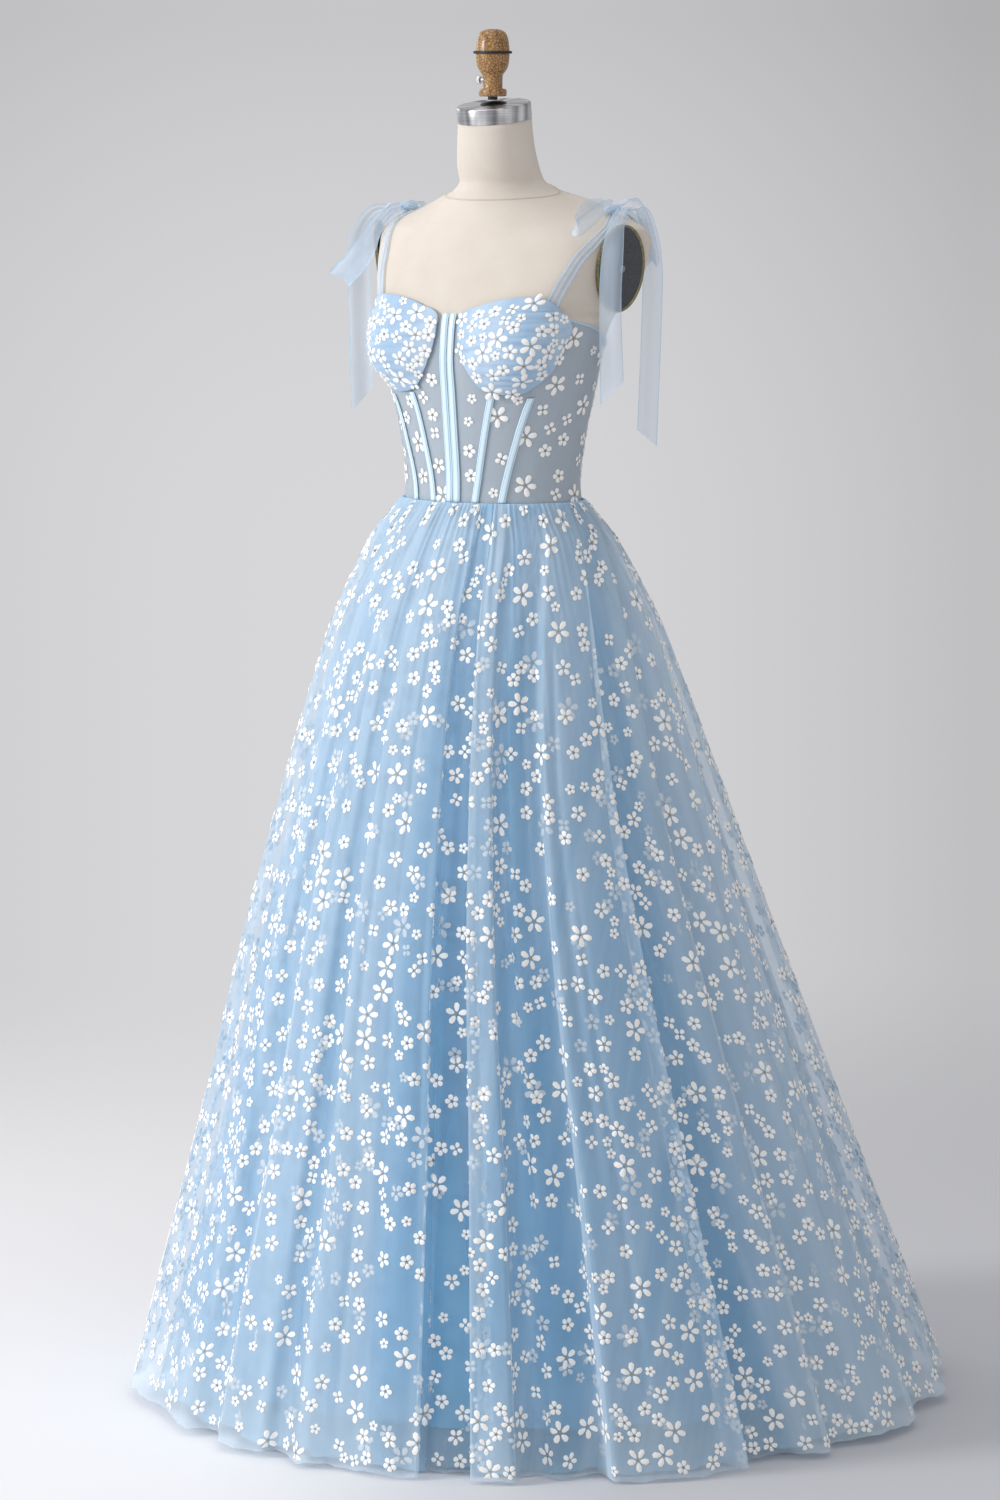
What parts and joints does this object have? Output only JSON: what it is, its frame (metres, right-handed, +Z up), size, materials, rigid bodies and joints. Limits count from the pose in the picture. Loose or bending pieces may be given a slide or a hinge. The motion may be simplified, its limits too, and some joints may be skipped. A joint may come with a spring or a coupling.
{
  "type": "ball gown on a dress form",
  "caption": "Floor-length strapped ball gown with a boned sheer bodice, padded cups, ribbon shoulder bows and a full flowered tulle skirt, standing on its limbless dress form",
  "frame": {"origin": "centre of the stand base's underside, on the floor under the pole", "axes": "+Z up, the gown faces -Y, +X is the wearer's left"},
  "size_m": [1.0496, 1.0533, 1.72],
  "materials": {
    "tulle": "soft matt net",
    "lining": "satin",
    "net": "matt net",
    "cup": "matt",
    "satin": "satin",
    "ribbon": "matt net",
    "linen": "matt",
    "steel": "brushed",
    "dark_steel": "satin",
    "wood": "crackled varnish",
    "rubber": "matt",
    "arm_plate": "matt"
  },
  "bodies": {
    "root": {"bodice_back_left": "net", "bodice_back_right": "net", "bodice_centre_left": "net", "bodice_centre_right": "net", "bodice_front_left": "net", "bodice_front_right": "net", "bodice_side_left": "net", "bodice_side_right": "net", "bone_inner_left": "satin", "bone_inner_right": "satin", "bone_outer_left": "satin", "bone_outer_right": "satin", "busk_left": "satin", "busk_right": "satin", "cup_left": "cup", "cup_right": "cup", "form_arm_plate_left": "arm_plate", "form_arm_plate_right": "arm_plate", "form_arm_screw_left": "steel", "form_arm_screw_right": "steel", "form_base": "dark_steel", "form_boss": "dark_steel", "form_cap": "steel", "form_knob": "wood", "form_knob_ring": "rubber", "form_pole": "steel", "form_rod": "dark_steel", "form_thumbscrew": "steel", "form_torso": "linen", "knot_left": "ribbon", "knot_right": "ribbon", "lining_front": "lining", "lining_left": "lining", "lining_right": "lining", "loop_back_left": "ribbon", "loop_back_right": "ribbon", "loop_front_left": "ribbon", "loop_front_right": "ribbon", "skirt_back_left": "tulle", "skirt_back_right": "tulle", "skirt_front": "tulle", "skirt_left": "tulle", "skirt_right": "tulle", "strap_back_left": "ribbon", "strap_back_right": "ribbon", "strap_front_left": "ribbon", "strap_front_right": "ribbon", "tail_back_left": "ribbon", "tail_back_right": "ribbon", "tail_front_left": "ribbon", "tail_front_right": "ribbon"}
  },
  "joints": []
}
